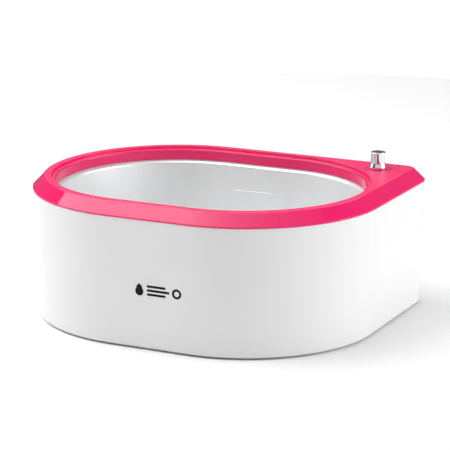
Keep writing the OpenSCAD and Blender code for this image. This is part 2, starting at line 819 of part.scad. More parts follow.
module heater_wires() {
    wire_z = plate_z - tube_d / 2;
    lower = board_z + 3;
    from_middle = terminal_gap / 2 - terminal_l[1] - power_wire_d / 2;
    color("white") for (k = [0, 1]) {
        end = block_xy - (1 + k) * pole_pitch * heading(135);
        start = [loop_len / 2, (1 - 2 * k) * from_middle, wire_z];
        wire([start, start + [8, 0, 0], start + [22, 3, 0], [end.x + 2, end.y - 40, wire_z],
            [end.x + 1, end.y - 6, wire_z + 2], [end.x, end.y, wire_z + 9],
            [end.x, end.y, lower]], power_wire_d);
    }
}

module dial_wires() {
    color("red") for (k = [-1, 0, 1]) {
        out = (pot_d / 2 + 4) * heading(45) + k * tag_pitch * heading(135);
        start = [dial_x + out.x, dial_y + out.y, wafer_z - 4];
        wire([start, start - [0, 0, 8], start + [1, 1, -18],
            start - [2 + board_t, 2 + board_t, 26]], dial_wire_d);
    }
}

// Dial

module at_dial(z) {
    translate([dial_x, dial_y, z]) children();
}

module pot_case() {
    color("silver") at_dial(pot_bottom) difference() {
        cylinder(d = pot_d, h = pot_top - pot_bottom);
        translate([0, 0, pot_wall]) cylinder(d = pot_d - 2 * pot_wall, h = pot_h);
        rotate([0, 0, 45]) translate([0, -wafer_w / 2 - 0.5, pot_wall])
            cube([pot_d, wafer_w + 1, wafer_t + 0.2]);
    }
}

module pot_wafer() {
    color("saddlebrown") at_dial(wafer_z) rotate([0, 0, 45]) {
        cylinder(d = pot_d - 2 * pot_wall - 0.4, h = wafer_t);
        translate([0, -wafer_w / 2, 0]) cube([pot_d / 2 + wafer_tail, wafer_w, wafer_t]);
    }
}

module pot_terminals() {
    color("gold") at_dial(wafer_z) rotate([0, 0, 45]) for (k = [-1:1])
        translate([pot_d / 2 + 3, k * tag_pitch - 0.8, -4]) cube([1, 1.6, 4]);
}

module pot_bush() {
    color("goldenrod") at_dial(pot_top) difference() {
        union() {
            cylinder(d = pot_d, h = bush_flange_t);
            cylinder(d = bush_d, h = deck_z + washer_t + pot_nut_h + 1 - pot_top);
        }
        translate([0, 0, -1]) cylinder(d = shaft_d + shaft_play, h = 20);
    }
}

module pot_washer() {
    color("silver") at_dial(deck_z) difference() {
        cylinder(d = dial_nut_w / cos(30), h = washer_t);
        translate([0, 0, -over]) cylinder(d = bush_d, h = washer_t + 2 * over);
    }
}

module pot_nut() {
    color("gray") at_dial(deck_z + washer_t) difference() {
        hex(dial_nut_w, pot_nut_h);
        translate([0, 0, -over]) cylinder(d = bush_d, h = pot_nut_h + 2 * over);
    }
}

module pot_shaft() {
    low = wiper_z - 0.5;
    color("lightgray") at_dial(low) cylinder(d = shaft_d, h = shaft_top - low);
}

module pot_wiper() {
    color("gold") at_dial(wiper_z) difference() {
        cylinder(d = pot_d - 2 * pot_wall - 1, h = wiper_t);
        translate([0, 0, -over]) cylinder(d = shaft_d, h = wiper_t + 2 * over);
    }
}

// The pointer's two grooves, one in the side and one in the foot's rim
module pointer_bar() {
    bar_h = knob_h - 1.4 - pointer_z;
    rotate([0, 0, pointer_angle]) {
        translate([knob_d / 2 - pointer_deep, -pointer_w / 2, pointer_z]) cube([2, pointer_w, bar_h]);
        translate([knob_foot_d / 2 - pointer_deep, -pointer_w / 2, 0]) cube([2, pointer_w, foot_rim_z]);
    }
}

module knob_body() {
    rotate_extrude() polygon(concat(
        [[0, knob_gap], [knob_foot_d / 2, knob_gap], [knob_foot_d / 2, foot_rim_z], [knob_d / 2, flare_z]],
        arc([knob_d / 2 - knob_edge, knob_h - knob_edge], knob_edge, 0, 90), [[0, knob_h]]));
}

module control_knob() {
    color("silver") at_dial(deck_z) difference() {
        knob_body();
        translate([0, 0, -over]) cylinder(d = hollow_d, h = hollow_h + over);
        cylinder(d = shaft_d, h = shaft_top - deck_z);
        pointer_bar();
        translate([0, 0, grub_z - deck_z]) rotate([0, 90, pointer_angle + 180])
            cylinder(d = screw_d, h = knob_d);
    }
}

module knob_pointer() {
    color("crimson") at_dial(deck_z) intersection() {
        knob_body();
        pointer_bar();
    }
}

module knob_grub_screw() {
    color("dimgray") at_dial(grub_z) rotate([0, 90, pointer_angle + 180]) translate([0, 0, shaft_d / 2])
        cylinder(d = screw_d, h = knob_d / 2 - shaft_d / 2 - 0.4);
}

module indicator_lens() {
    color("firebrick") translate([lens_x, lens_y, lens_end]) cylinder(d = lens_d, h = deck_z + 0.2 - lens_end);
}

module indicator_led() {
    color("red") translate([lens_x, lens_y, lens_end]) mirror([0, 0, 1]) {
        cylinder(d = 3, h = 5);
        for (x = [-0.6, 0.6]) translate([x - 0.25, -0.25, 0]) cube([0.5, 0.5, 12]);
    }
}

module dial_scale() {
    color("darkred") at_dial(deck_z) {
        difference() {
            cylinder(r = scale_r + line_w / 2, h = print_t);
            translate([0, 0, -over]) cylinder(r = scale_r - line_w / 2, h = print_t + 2 * over);
        }
        for (a = [200, 40]) rotate([0, 0, a]) translate([scale_r + scale_end_gap, -line_w / 2, 0])
            cube([scale_end_l, line_w, print_t]);
    }
}

// Plain sign of a drop, three bars and a ring, wrapped on the front wall
module sign_shapes() {
    drop_d = 8.4;
    bar_t = 2.2;
    ring_d = 9.6;
    translate([-19.6, -1.6]) circle(d = drop_d);
    translate([-19.6, 2.7]) rotate(45) square(0.56 * drop_d, center = true);
    for (k = [-1:1]) translate([-11.6, 3.9 * k - bar_t / 2]) square([23 - 4 * abs(k), bar_t]);
    translate([19, 0]) difference() {
        circle(d = ring_d);
        circle(d = ring_d - 2 * bar_t);
    }
}

module front_emblem() {
    low = sign_z - sign_reach;
    high = sign_z + sign_reach;
    skin = [[-lean(low), low], [sign_t - lean(low), low], [sign_t - lean(high), high], [-lean(high), high]];
    color("black") intersection() {
        around(body_size, body_radii) polygon(skin);
        translate([sign_x, 0, sign_z]) rotate([90, 0, 0]) linear_extrude(body_wid) sign_shapes();
    }
}

outer_shell();
base_plate();
rubber_feet();
base_screws();
top_bezel();
bezel_screws();
wax_tank();
tank_seal();
tank_clamps();
clamp_screws();
insulation_wrap();
heater_plate();
heater_tube();
heater_terminals();
heater_straps();
heater_studs();
heater_nuts();
heat_shield();
shield_screws();
temperature_sensor();
sensor_clip();
thermal_cutout();
cutout_screws();
board_bracket();
bracket_screws();
control_board();
board_spacers();
board_screws();
power_relay();
terminal_block();
supply_capacitor();
controller_chip();
board_fuse();
fuse_clips();
power_inlet();
inlet_pins();
inlet_screws();
mains_wires();
heater_wires();
dial_wires();
pot_case();
pot_wafer();
pot_terminals();
pot_bush();
pot_washer();
pot_nut();
indicator_lens();
indicator_led();
dial_scale();
front_emblem();
pot_shaft();
pot_wiper();
control_knob();
knob_pointer();
knob_grub_screw();
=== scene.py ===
import json
from math import atan2, cos, pi, radians, sin, tan

import bmesh
import bpy
from mathutils import Matrix, Vector


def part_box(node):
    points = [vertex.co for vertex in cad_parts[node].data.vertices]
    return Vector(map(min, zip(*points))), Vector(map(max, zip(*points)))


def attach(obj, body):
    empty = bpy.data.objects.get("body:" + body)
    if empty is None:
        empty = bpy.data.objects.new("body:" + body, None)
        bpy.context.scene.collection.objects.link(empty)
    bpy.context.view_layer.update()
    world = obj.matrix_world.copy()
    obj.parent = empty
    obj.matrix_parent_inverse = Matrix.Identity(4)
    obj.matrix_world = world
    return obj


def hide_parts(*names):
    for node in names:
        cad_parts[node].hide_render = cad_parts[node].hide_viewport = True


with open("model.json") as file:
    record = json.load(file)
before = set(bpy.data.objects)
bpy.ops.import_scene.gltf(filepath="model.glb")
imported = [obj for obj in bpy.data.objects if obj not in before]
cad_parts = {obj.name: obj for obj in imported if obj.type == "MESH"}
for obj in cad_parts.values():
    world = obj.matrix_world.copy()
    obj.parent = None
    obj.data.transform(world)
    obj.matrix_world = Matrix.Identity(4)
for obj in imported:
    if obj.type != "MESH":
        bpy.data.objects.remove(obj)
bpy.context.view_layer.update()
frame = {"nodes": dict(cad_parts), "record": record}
MM = 0.001


# ---------------------------------------------------------------- places, from the frame

shell_low, shell_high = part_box("outer_shell")
bezel_low, bezel_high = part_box("top_bezel")
tank_low, tank_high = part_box("wax_tank")
knob_low, knob_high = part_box("control_knob")
lens_low, lens_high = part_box("indicator_lens")
inlet_low, inlet_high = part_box("power_inlet")

LENGTH = bezel_high.x - bezel_low.x
WIDTH = bezel_high.y - bezel_low.y
SEAM = shell_high.z
DECK = bezel_high.z
FOOT_GAP = shell_low.z
RIM = tank_high.z
TANK_UNDER = tank_low.z
KNOB_AXIS = (knob_low + knob_high) / 2
KNOB_FOOT_R = (knob_high.x - knob_low.x) / 2
KNOB_UNDER = knob_low.z
KNOB_TOP = knob_high.z
POINTER_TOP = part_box("knob_pointer")[1].z
LENS_AXIS = (lens_low + lens_high) / 2
LENS_R = (lens_high.x - lens_low.x) / 2
INLET_MID = (inlet_low + inlet_high) / 2
INLET_HALF = (inlet_high - inlet_low) / 2

# Outline: the flats left at the two ends, and the squared rear right corner
LEFT_FLAT = 2 * MM
RIGHT_FLAT = 5 * MM
CORNER_R = 23 * MM
OPEN_FLAT = 2.2 * MM
MARGIN = 18.3 * MM
BODY_RADII = (CORNER_R, WIDTH / 2 - LEFT_FLAT, WIDTH / 2 - LEFT_FLAT, WIDTH / 2 - RIGHT_FLAT)
OPEN_SIZE = (LENGTH - 2 * MARGIN, WIDTH - 2 * MARGIN)
OPEN_R = OPEN_SIZE[1] / 2 - OPEN_FLAT

# Shell: its wall leans in by the draft towards the bottom, and the base plate lies inside its foot rim
WALL = 3 * MM
OVERHANG = 0.3 * MM
DRAFT = 3 * MM
BASE_T = 3 * MM
FOOT_RIM = 6 * MM
BASE_FLANGE = 11 * MM

# Power inlet: its flange lies in a pocket of the rear wall, and its body in a hole
LEAN = atan2(DRAFT, SEAM - FOOT_GAP)
FLANGE_T = 1.9 * MM
POCKET_PLAY = 0.4 * MM
INLET_HOLE_HALF = (13.7 * MM, 10.1 * MM)

# Bezel: lip, sloping face, ridge, stepped ledge, inner wall, and a skirt inside the shell
BEZEL_T = 2.6 * MM
LIP = 1.6 * MM
CHAMFER = DECK - SEAM - LIP
LEDGE = 4.6 * MM
LEDGE_DROP = 2.8 * MM
WALL_DROP = 0.7 * MM
SKIRT_GAP = 0.3 * MM
SKIRT_T = 1.8 * MM
SKIRT_DROP = 5 * MM
UNDER_REACH = 14.4 * MM
BUSH_R = 4 * MM
LENS_RING = 0.3 * MM

# Tank, and the marks pressed in its rear wall
TANK_T = 1.2 * MM
TANK_IN = LEDGE + 3 * MM
TANK_OUT = 1.6 * MM
FLOOR_R = 12 * MM
SHOULDER_R = 3 * MM
MARK_DROP = 26.6 * MM
MARK_SPAN = (-30 * MM, 12 * MM)
TICKS = 4
TICK_START = 21 * MM
TICK_STEP = 4.5 * MM
TICK_LENGTH = 2.6 * MM
TICK_FALL = 1 * MM

# Knob: a bore from below, a flared foot, and an inlaid pointer
KNOB_R = 7.1 * MM
KNOB_BORE_R = 6.2 * MM
KNOB_BORE_H = 6 * MM
FLARE_LOW = 2 * MM
FLARE_HIGH = 5.6 * MM
POINTER_ANGLE = radians(-68)
POINTER_W = 2.2 * MM
POINTER_SINK = 0.3 * MM

# Steps round a corner of the outline, for corners of this radius and more
CORNER_STEPS = 72
FULL_STEPS_R = 60 * MM

# Studio
FLOOR_RADIUS = 1.3
PANEL_DISTANCE = 2.4
PANEL_AIM = Vector((0, 0, 0.08))


# ---------------------------------------------------------------- outlines and sweeps

def outline(size, radii):
    """Samples round a rectangle with four corner radii: arc centre, radius, and the way outward."""
    samples = []
    for i, radius in enumerate(radii):
        cx = (size[0] / 2 - radius) * (1 if i in (0, 3) else -1)
        cy = (size[1] / 2 - radius) * (1 if i < 2 else -1)
        count = max(10, round(CORNER_STEPS * min(1, radius / FULL_STEPS_R)))
        for k in range(count + 1):
            a = (i + k / count) * pi / 2
            samples.append((cx, cy, radius, cos(a), sin(a)))
    return samples


def at(sample, out, z):
    cx, cy, radius, nx, ny = sample
    return Vector((cx + (radius + out) * nx, cy + (radius + out) * ny, z))


def rounded(points, closed=False, hold=0.25 * MM, steps=6):
    """Corner points (out, z, radius) as a line with arcs. Short flats by each arc keep the shading true."""
    line = []
    count = len(points)
    for i, (x, z, radius) in enumerate(points):
        here = Vector((x, z))
        if not closed and i in (0, count - 1):
            line.append((x, z))
            continue
        before = (Vector(points[i - 1][:2]) - here)
        after = (Vector(points[(i + 1) % count][:2]) - here)
        half = before.angle(after) / 2
        reach = min(radius / tan(half), 0.48 * before.length, 0.48 * after.length)
        radius = reach * tan(half)
        start = here + before.normalized() * reach
        end = here + after.normalized() * reach
        centre = here + (before.normalized() + after.normalized()).normalized() * (radius / sin(half))
        if before.length - reach > 3 * hold:
            line.append(tuple(start + before.normalized() * hold))
        a0 = atan2(start.y - centre.y, start.x - centre.x)
        turn = (atan2(end.y - centre.y, end.x - centre.x) - a0 + pi) % (2 * pi) - pi
        for k in range(steps + 1):
            a = a0 + turn * k / steps
            line.append((centre.x + radius * cos(a), centre.y + radius * sin(a)))
        if after.length - reach > 3 * hold:
            line.append(tuple(end + after.normalized() * hold))
    return line


def sweep(bm, line, samples, closed=False):
    """Adds the surface of a line swept round an outline, and gives its rings of vertices."""
    rings = [[bm.verts.new(at(s, x, z)) for s in samples] for x, z in line]
    pairs = list(zip(rings, rings[1:])) + ([(rings[-1], rings[0])] if closed else [])
    for lower, upper in pairs:
        for k in range(len(samples)):
            n = (k + 1) % len(samples)
            bm.faces.new((lower[k], lower[n], upper[n], upper[k]))
    return rings


def ring_edges(bm, ring):
    edges = []
    for a, b in zip(ring, ring[1:] + ring[:1]):
        edge = bm.edges.get((a, b))
        edges.append(edge if edge else bm.edges.new((a, b)))
    return edges


def lathe(bm, line, centre, steps=96):
    """Adds the surface of a line (radius, z) turned about a vertical axis. Its ends may lie on the axis."""
    columns = []
    for radius, z in line:
        if radius < 1e-7:
            columns.append([bm.verts.new((centre.x, centre.y, z))])
        else:
            columns.append([bm.verts.new((centre.x + radius * cos(2 * pi * k / steps),
                                          centre.y + radius * sin(2 * pi * k / steps), z))
                            for k in range(steps)])
    for lower, upper in zip(columns, columns[1:]):
        for k in range(steps):
            n = (k + 1) % steps
            round_face = ((lower, k), (lower, n), (upper, n), (upper, k))
            corners = [column[j % len(column)] for column, j in round_face]
            unique = list(dict.fromkeys(corners))
            if len(unique) > 2:
                bm.faces.new(unique)
    return columns


def box_mesh(low, high, place):
    """A closed box between two corners, set in place by a matrix, to cut with."""
    bm = bmesh.new()
    size = Vector(high) - Vector(low)
    middle = (Vector(high) + Vector(low)) / 2
    in_place = place @ Matrix.Translation(middle) @ Matrix.Diagonal((*size, 1))
    bmesh.ops.create_cube(bm, size=1, matrix=in_place)
    return bm


def as_object(name, bm):
    mesh = bpy.data.meshes.new(name)
    bm.to_mesh(mesh)
    bm.free()
    obj = bpy.data.objects.new(name, mesh)
    bpy.context.scene.collection.objects.link(obj)
    return obj


def cut(bm, cutter):
    """Cuts one closed mesh out of another, and gives the result."""
    obj = as_object("uncut", bm)
    tool = as_object("cutter", cutter)
    modifier = obj.modifiers.new("cut", "BOOLEAN")
    modifier.object = tool
    modifier.solver = "EXACT"
    cut_mesh = bpy.data.meshes.new_from_object(obj.evaluated_get(bpy.context.evaluated_depsgraph_get()))
    made = bmesh.new()
    made.from_mesh(cut_mesh)
    for used in (obj, tool):
        used_mesh = used.data
        bpy.data.objects.remove(used)
        bpy.data.meshes.remove(used_mesh)
    bpy.data.meshes.remove(cut_mesh)
    return made


def finish_mesh(name, bm, material, body, replaced=(), sharp=40):
    bmesh.ops.remove_doubles(bm, verts=bm.verts, dist=1e-6)
    bmesh.ops.recalc_face_normals(bm, faces=bm.faces)
    for face in bm.faces:
        face.smooth = True
    for edge in bm.edges:
        edge.smooth = edge.calc_face_angle(0) < radians(sharp)
    obj = as_object(name, bm)
    obj.data.materials.append(material)
    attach(obj, body)
    if replaced:
        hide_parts(*replaced)
    return obj


# ---------------------------------------------------------------- materials

class Shader:
    """A node material: a Principled shader with named helpers."""

    def __init__(self, name, color, **sockets):
        self.material = bpy.data.materials.new(name)
        self.material.use_nodes = True
        self.tree = self.material.node_tree
        self.bsdf = self.tree.nodes["Principled BSDF"]
        self.bsdf.inputs["Base Color"].default_value = (*color, 1)
        self.color = color
        for key, value in sockets.items():
            self.bsdf.inputs[key.replace("_", " ")].default_value = value
        self.place = self.node("ShaderNodeTexCoord").outputs["Object"]

    def node(self, kind, **values):
        made = self.tree.nodes.new(kind)
        for key, value in values.items():
            if key in made.inputs:
                made.inputs[key].default_value = value
            else:
                setattr(made, key, value)
        return made

    def link(self, a, b):
        self.tree.links.new(a, b)

    def noise(self, scale, detail=3, stretch=(1, 1, 1), rough=0.5):
        mapping = self.node("ShaderNodeMapping")
        mapping.inputs["Scale"].default_value = stretch
        self.link(self.place, mapping.inputs["Vector"])
        made = self.node("ShaderNodeTexNoise")
        made.inputs["Scale"].default_value = scale
        made.inputs["Detail"].default_value = detail
        made.inputs["Roughness"].default_value = rough
        self.link(mapping.outputs["Vector"], made.inputs["Vector"])
        return made.outputs["Fac"]

    def span(self, value, low, high):
        made = self.node("ShaderNodeMapRange")
        made.inputs["To Min"].default_value = low
        made.inputs["To Max"].default_value = high
        self.link(value, made.inputs["Value"])
        return made.outputs["Result"]

    def vary_color(self, value, amount):
        """Colour from a shade darker to a shade lighter by the value."""
        mix = self.node("ShaderNodeMix", data_type="RGBA")
        mix.inputs["A"].default_value = (*[c * (1 - amount) for c in self.color], 1)
        mix.inputs["B"].default_value = (*[min(1, c * (1 + amount)) for c in self.color], 1)
        self.link(value, mix.inputs["Factor"])
        self.link(mix.outputs["Result"], self.bsdf.inputs["Base Color"])

    def vary_roughness(self, value, low, high):
        self.link(self.span(value, low, high), self.bsdf.inputs["Roughness"])

    def bump(self, value, height, strength=1.0):
        made = self.node("ShaderNodeBump")
        made.inputs["Distance"].default_value = height
        made.inputs["Strength"].default_value = strength
        self.link(value, made.inputs["Height"])
        self.link(made.outputs["Normal"], self.bsdf.inputs["Normal"])


def moulded(name, color, gloss, grain=0.02 * MM, scale=900, **sockets):
    """Moulded plastic: fine orange peel, slow shifts in tone, small shifts in gloss."""
    shader = Shader(name, color, **sockets)
    shader.vary_color(shader.noise(14, 2), 0.02)
    shader.vary_roughness(shader.noise(60, 4), gloss * 0.85, gloss * 1.2)
    shader.bump(shader.noise(scale, 2), grain, 0.25)
    return shader.material


def polished(name, color, gloss, flat_gloss):
    """Polished moulding whose level faces carry a fine satin texture."""
    shader = Shader(name, color, IOR=1.5)
    shader.vary_color(shader.noise(14, 2), 0.02)
    split = shader.node("ShaderNodeSeparateXYZ")
    shader.link(shader.node("ShaderNodeTexCoord").outputs["Normal"], split.inputs["Vector"])
    level = shader.node("ShaderNodeMapRange")
    level.inputs["From Min"].default_value = 0.97
    level.inputs["To Min"].default_value = gloss
    level.inputs["To Max"].default_value = flat_gloss
    shader.link(split.outputs["Z"], level.inputs["Value"])
    shader.link(level.outputs["Result"], shader.bsdf.inputs["Roughness"])
    shader.bump(shader.noise(900, 2), 0.003 * MM, 0.2)
    return shader.material


def metal(name, color, rough, stretch=(1, 1, 1), scale=300, grain=0.01 * MM, tone=0.04, metallic=1.0):
    """Metal with grain drawn along one direction. A satin finish is a little less than wholly metallic."""
    shader = Shader(name, color, Metallic=metallic)
    lines = shader.noise(scale, 4, stretch)
    shader.vary_color(lines, tone)
    shader.vary_roughness(lines, rough * 0.8, rough * 1.25)
    shader.bump(lines, grain, 0.3)
    return shader.material


def glass(name, color):
    """Clear glass with faint streaks in its gloss."""
    shader = Shader(name, color, Transmission_Weight=0.9, IOR=1.5)
    shader.vary_roughness(shader.noise(200), 0.02, 0.08)
    return shader.material


WHITE = moulded("white_shell", (0.8, 0.8, 0.805), 0.22, IOR=1.5)
PINK = polished("pink_bezel", (0.84, 0.013, 0.14), 0.05, 0.5)
TANK = metal("tank_aluminium", (0.88, 0.905, 0.905), 0.4, (1, 1, 0.05), 500, metallic=0.7)
CHROME = metal("knob_chrome", (0.82, 0.82, 0.83), 0.08, (1, 1, 12), 200, grain=0.002 * MM, tone=0.02)
STEEL = metal("plated_steel", (0.62, 0.62, 0.6), 0.35)
BRASS = metal("brass", (0.75, 0.52, 0.2), 0.3)
SHEATH = metal("heater_sheath", (0.2, 0.2, 0.21), 0.5)
RUBBER = moulded("rubber", (0.03, 0.03, 0.03), 0.75, grain=0.05 * MM)
SEAL = moulded("seal_rubber", (0.5, 0.5, 0.49), 0.5)
BASE = moulded("base_plastic", (0.62, 0.62, 0.62), 0.55, grain=0.08 * MM, scale=1500)
BLACK = moulded("black_plastic", (0.015, 0.015, 0.016), 0.35, grain=0.04 * MM)
POINTER = moulded("pointer_red", (0.5, 0.03, 0.12), 0.35)
PRINT_DARK = moulded("print_dark", (0.2, 0.005, 0.04), 0.3)
PRINT_BLACK = moulded("print_black", (0.006, 0.006, 0.006), 0.6, Specular_IOR_Level=0.15)
NYLON = moulded("nylon", (0.7, 0.68, 0.6), 0.5)
BOARD = moulded("board_green", (0.015, 0.13, 0.05), 0.35)
RELAY = moulded("relay_blue", (0.03, 0.1, 0.4), 0.3)
BLOCK = moulded("block_green", (0.05, 0.3, 0.12), 0.4)
SLEEVE = moulded("capacitor_sleeve", (0.03, 0.035, 0.15), 0.3)
RESIN = moulded("ceramic_tan", (0.5, 0.34, 0.2), 0.5)
PHENOLIC = moulded("phenolic", (0.22, 0.08, 0.03), 0.5)
WIRE_BROWN = moulded("wire_brown", (0.14, 0.05, 0.02), 0.5)
WIRE_WHITE = moulded("wire_white", (0.72, 0.72, 0.68), 0.7, grain=0.1 * MM)
WIRE_RED = moulded("wire_red", (0.5, 0.03, 0.03), 0.5)
LED_RED = moulded("led_red", (0.5, 0.01, 0.04), 0.2)
FELT = moulded("insulation", (0.7, 0.66, 0.5), 0.95, grain=0.6 * MM, scale=400)
LENS = moulded("lens_red", (0.66, 0.012, 0.11), 0.12, IOR=1.5)
FUSE = glass("fuse_glass", (0.9, 0.9, 0.86))
ALLOY = metal("heater_alloy", (0.6, 0.6, 0.6), 0.4)
SHIELD = metal("shield_sheet", (0.75, 0.76, 0.78), 0.2)

CAD_MATERIALS = {
    "plated_steel": STEEL, "brass": BRASS, "heater_sheath": SHEATH, "rubber": RUBBER, "seal_rubber": SEAL,
    "base_plastic": BASE, "black_plastic": BLACK, "pointer_red": POINTER, "print_dark": PRINT_DARK,
    "print_black": PRINT_BLACK, "nylon": NYLON, "board_green": BOARD, "relay_blue": RELAY,
    "block_green": BLOCK, "capacitor_sleeve": SLEEVE, "ceramic_tan": RESIN, "phenolic": PHENOLIC,
    "wire_brown": WIRE_BROWN, "wire_white": WIRE_WHITE, "wire_red": WIRE_RED, "led_red": LED_RED,
    "insulation": FELT, "lens_red": LENS, "fuse_glass": FUSE, "white_shell": WHITE, "pink_bezel": PINK,
    "tank_aluminium": TANK, "chrome": CHROME, "heater_alloy": ALLOY, "shield_sheet": SHIELD,
}

for part in frame["record"]["subparts"]:
    node = frame["nodes"][part["node"]]
    node.data.materials.clear()
    node.data.materials.append(CAD_MATERIALS[part["material_slot"]])


# ---------------------------------------------------------------- shell

body_line = outline((LENGTH, WIDTH), BODY_RADII)
open_line = outline(OPEN_SIZE, (OPEN_R,) * 4)


def cut_inlet(bm):
    """Cuts the power inlet's shallow pocket in the leaning rear wall, and the hole for its body."""
    pocket_y = inlet_high.y - FLANGE_T - INLET_HALF.z * sin(LEAN)
    on_wall = Matrix.Translation((INLET_MID.x, pocket_y, INLET_MID.z)) @ Matrix.Rotation(-LEAN, 4, "X")
    pocket_x = INLET_HALF.x + POCKET_PLAY
    pocket_z = INLET_HALF.z + POCKET_PLAY
    hole_x, hole_z = INLET_HOLE_HALF
    past_wall = 6 * MM
    into_shell = 8 * MM
    bm = cut(bm, box_mesh((-pocket_x, 0, -pocket_z), (pocket_x, past_wall, pocket_z), on_wall))
    return cut(bm, box_mesh((-hole_x, -into_shell, -hole_z), (hole_x, past_wall, hole_z), on_wall))


def make_shell():
    """White body: a leaning wall with a rounded foot, and a flange inside that the base plate screws to."""
    base_z = FOOT_GAP + BASE_T
    wall_in = OVERHANG + DRAFT + WALL
    rim_in = OVERHANG + DRAFT + FOOT_RIM
    flange_in = wall_in + BASE_FLANGE
    bm = bmesh.new()
    sweep(bm, rounded([
        (-OVERHANG, SEAM, 0.4 * MM), (-OVERHANG - WALL, SEAM, 0.2 * MM),
        (-wall_in, base_z + WALL, 1 * MM), (-flange_in, base_z + WALL, 0.3 * MM),
        (-flange_in, base_z, 0.2 * MM), (-rim_in, base_z, 0.2 * MM),
        (-rim_in, FOOT_GAP, 0.5 * MM), (-OVERHANG - DRAFT, FOOT_GAP, 4 * MM),
    ], closed=True), body_line, closed=True)
    bmesh.ops.recalc_face_normals(bm, faces=bm.faces)
    finish_mesh("shell_moulding", cut_inlet(bm), WHITE, "housing", ["outer_shell"])


# ---------------------------------------------------------------- bezel

def hole_walls(bm, centre, radius):
    """A bore through the deck with a small rounded mouth, and gives its top and bottom rings."""
    line = rounded([(radius + 1 * MM, DECK, 0), (radius, DECK, 0.3 * MM), (radius, DECK - BEZEL_T, 0)])
    rings = lathe(bm, line, centre, 48)
    return rings[0], rings[-1]


def outer_side(bm):
    """From the ridge down the slope and the lip, and back up inside the skirt to the deck's underside."""
    skirt_out = OVERHANG + WALL + SKIRT_GAP
    skirt_in = skirt_out + SKIRT_T
    slope = BEZEL_T * 2 ** 0.5
    under = DECK - BEZEL_T
    return sweep(bm, rounded([
        (-CHAMFER - 2.5 * MM, DECK, 0), (-CHAMFER, DECK, 3 * MM), (0, SEAM + LIP, 0.25 * MM),
        (0, SEAM + 0.3 * MM, 0.3 * MM), (-0.6 * MM, SEAM, 0.1 * MM), (-skirt_out, SEAM, 0.1 * MM),
        (-skirt_out, SEAM - SKIRT_DROP, 0.3 * MM), (-skirt_in, SEAM - SKIRT_DROP, 0.3 * MM),
        (-skirt_in, SEAM + LIP + skirt_in - slope, 0.3 * MM), (BEZEL_T - slope - CHAMFER, under, 0.5 * MM),
        (-UNDER_REACH, under, 0)]), body_line)


def inner_side(bm):
    """From the ridge down the step, the ledge and the inner wall, and back up behind them."""
    ledge_z = DECK - LEDGE_DROP
    wall_end = SEAM - WALL_DROP
    return sweep(bm, rounded([
        (1.5 * MM, DECK, 0), (0, DECK, 0.5 * MM), (0, ledge_z, 0.3 * MM), (-LEDGE, ledge_z, 1.4 * MM),
        (-LEDGE, wall_end, 0.5 * MM), (-LEDGE + BEZEL_T, wall_end, 0.3 * MM),
        (-LEDGE + BEZEL_T, ledge_z - BEZEL_T, 0.3 * MM), (BEZEL_T, ledge_z - BEZEL_T, 0.2 * MM),
        (BEZEL_T, DECK - BEZEL_T, 0)]), open_line)


def make_bezel():
    """Pink bezel: two swept sides and two bores, joined by the deck's flat top and underside."""
    bm = bmesh.new()
    outer = outer_side(bm)
    inner = inner_side(bm)
    dial_top, dial_under = hole_walls(bm, KNOB_AXIS, BUSH_R)
    lens_top, lens_under = hole_walls(bm, LENS_AXIS, LENS_R + LENS_RING)
    top_rings = (outer[0], inner[0], dial_top, lens_top)
    under_rings = (outer[-1], inner[-1], dial_under, lens_under)
    for rings in (top_rings, under_rings):
        loops = [edge for ring in rings for edge in ring_edges(bm, ring)]
        bmesh.ops.triangle_fill(bm, use_beauty=True, use_dissolve=False, edges=loops)
    finish_mesh("bezel_moulding", bm, PINK, "housing", ["top_bezel"])


# ---------------------------------------------------------------- tank

tank_size = (OPEN_SIZE[0] - 2 * TANK_IN, OPEN_SIZE[1] - 2 * TANK_IN)
tank_line = outline(tank_size, (OPEN_R - TANK_IN,) * 4)


def raised_bar(bm, start, end, z, width, height):
    """A low rounded bar on the tank's rear wall, as a pressing leaves it."""
    wall_y = tank_line[0][1] + tank_line[0][2]
    steps = 8
    rows = []
    for k in range(steps + 1):
        a = pi * k / steps
        y = wall_y - height * sin(a) + 0.05 * MM
        rows.append([bm.verts.new((x, y, z + width / 2 * cos(a))) for x in (start, end)])
    for (a0, a1), (b0, b1) in zip(rows, rows[1:] + rows[:1]):
        bm.faces.new((a0, a1, b1, b0))
    bm.faces.new([row[0] for row in rows])
    bm.faces.new([row[1] for row in reversed(rows)])


def fill_marks(bm):
    """One fill line and a few faint ticks beside it."""
    mark_z = RIM - MARK_DROP
    raised_bar(bm, *MARK_SPAN, mark_z, width=0.9 * MM, height=0.2 * MM)
    for step in range(TICKS):
        tick_x = TICK_START + TICK_STEP * step
        tick_z = mark_z - TICK_FALL * step
        raised_bar(bm, tick_x, tick_x + TICK_LENGTH, tick_z, width=1.4 * MM, height=0.12 * MM)


def make_tank():
    """Pressed tank: a rounded floor edge, a straight wall and a rolled shoulder with a flange."""
    floor_z = TANK_UNDER + TANK_T
    floor_in = -FLOOR_R - 2 * MM
    tip = TANK_IN + TANK_OUT
    bm = bmesh.new()
    rings = sweep(bm, rounded([
        (floor_in, floor_z, 0), (0, floor_z, FLOOR_R), (0, RIM, SHOULDER_R),
        (tip, RIM, 0.3 * MM), (tip, RIM - TANK_T, 0.3 * MM), (TANK_T, RIM - TANK_T, SHOULDER_R - TANK_T),
        (TANK_T, TANK_UNDER, FLOOR_R + TANK_T), (floor_in, TANK_UNDER, 0)], steps=10), tank_line)
    bm.faces.new(rings[0])
    bm.faces.new(list(reversed(rings[-1])))
    fill_marks(bm)
    finish_mesh("tank_pressing", bm, TANK, "housing", ["wax_tank"])


# ---------------------------------------------------------------- knob

